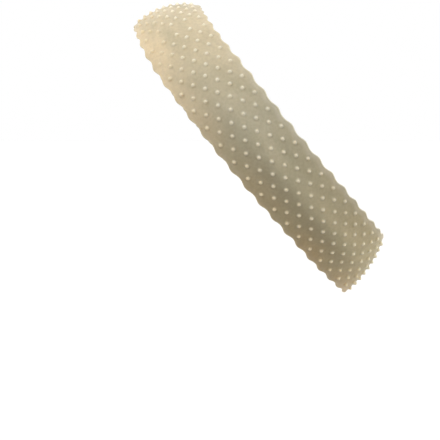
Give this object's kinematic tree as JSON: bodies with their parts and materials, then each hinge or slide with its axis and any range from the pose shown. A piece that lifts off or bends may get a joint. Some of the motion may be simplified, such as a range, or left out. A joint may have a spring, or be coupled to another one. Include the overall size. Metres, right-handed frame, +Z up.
{
  "type": "wig grip band",
  "caption": "Seamless soft silicone loop worn round the head from hairline to nape, with staggered nubs outside and scalloped edges, to keep a wig from slipping.",
  "frame": {"origin": "middle of the hollow that the head fills, at the height of the loop's middle row of nubs", "axes": "+Z up and -Y the wearer's front with the head upright, so +X is the wearer's left; the loop is tilted, high at the front and low at the back"},
  "size_m": [0.1596, 0.1434, 0.1667],
  "materials": {
    "silicone": "moulded translucent cream silicone, satin"
  },
  "bodies": {
    "root": {"grip_band": "silicone"}
  },
  "joints": []
}
